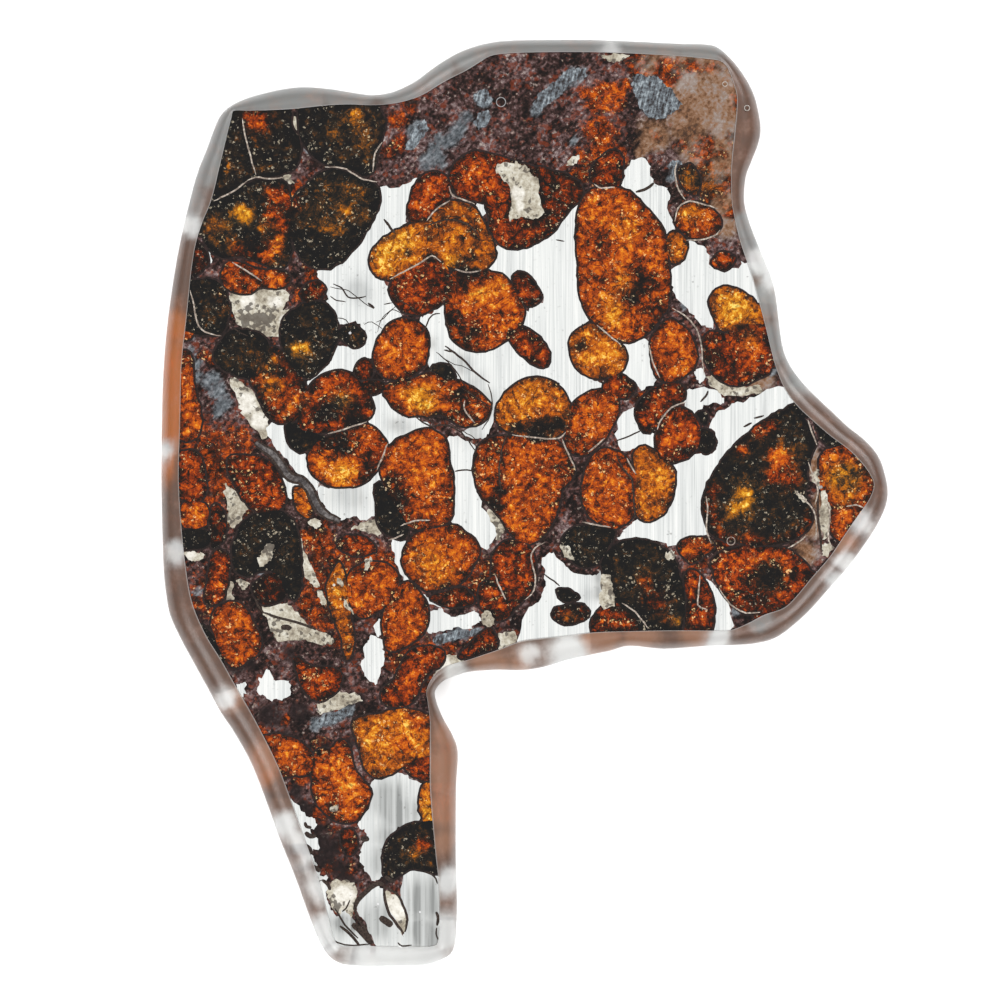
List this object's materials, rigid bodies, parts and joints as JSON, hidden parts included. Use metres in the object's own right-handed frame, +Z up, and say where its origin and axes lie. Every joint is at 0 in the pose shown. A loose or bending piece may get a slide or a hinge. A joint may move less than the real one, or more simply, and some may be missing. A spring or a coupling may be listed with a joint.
{
  "type": "pallasite meteorite slice",
  "caption": "Flat polished meteorite slice with a long tail: rounded olivine crystals set right through a slab of iron-nickel metal, edged all round with clear resin.",
  "frame": {"origin": "centre of the slice's bounding box in plan, on the lower face that it rests on", "axes": "+Z up out of the polished face, +Y along the slice's length away from the tail, +X to the right seen from above"},
  "size_m": [0.0728, 0.0928, 0.0034],
  "materials": {
    "metal": "polished",
    "resin": "frosted",
    "olivine_gold": "polished",
    "olivine_orange": "polished",
    "olivine_red": "polished",
    "olivine_dark": "polished"
  },
  "bodies": {
    "root": {"metal_matrix": "metal", "olivine_amber": "olivine_red", "olivine_black": "olivine_dark", "olivine_bowl": "olivine_orange", "olivine_brown": "olivine_red", "olivine_cap": "olivine_red", "olivine_coal": "olivine_dark", "olivine_corner": "olivine_dark", "olivine_crescent": "olivine_red", "olivine_dome": "olivine_gold", "olivine_fan": "olivine_orange", "olivine_golden": "olivine_gold", "olivine_great_dark": "olivine_dark", "olivine_great_top": "olivine_red", "olivine_heart": "olivine_orange", "olivine_hexagon": "olivine_orange", "olivine_kidney": "olivine_orange", "olivine_kidney_top": "olivine_orange", "olivine_knob": "olivine_dark", "olivine_left_dark": "olivine_dark", "olivine_left_large": "olivine_orange", "olivine_left_orange": "olivine_orange", "olivine_left_red": "olivine_red", "olivine_long": "olivine_orange", "olivine_low_red": "olivine_red", "olivine_low_right": "olivine_red", "olivine_low_round": "olivine_dark", "olivine_low_strip": "olivine_red", "olivine_low_wedge": "olivine_red", "olivine_lower_left": "olivine_orange", "olivine_mottled": "olivine_red", "olivine_night": "olivine_dark", "olivine_notch": "olivine_red", "olivine_oblong": "olivine_red", "olivine_red_band": "olivine_red", "olivine_red_oval": "olivine_red", "olivine_right_mid": "olivine_orange", "olivine_rosette": "olivine_red", "olivine_round": "olivine_orange", "olivine_rust": "olivine_orange", "olivine_saddle": "olivine_gold", "olivine_side_bead": "olivine_gold", "olivine_slant": "olivine_orange", "olivine_tail_dome": "olivine_dark", "olivine_tail_left": "olivine_orange", "olivine_tail_middle": "olivine_orange", "olivine_tail_right": "olivine_gold", "olivine_tall": "olivine_orange", "olivine_tip": "olivine_orange", "olivine_top_left": "olivine_dark", "olivine_top_right": "olivine_orange", "olivine_twin_left": "olivine_orange", "olivine_twin_right": "olivine_gold", "olivine_under_long": "olivine_gold", "olivine_under_saddle": "olivine_red", "olivine_under_tall": "olivine_dark", "olivine_upper": "olivine_red", "olivine_wedge": "olivine_dark", "olivine_west": "olivine_dark", "resin_edge": "resin"}
  },
  "joints": []
}
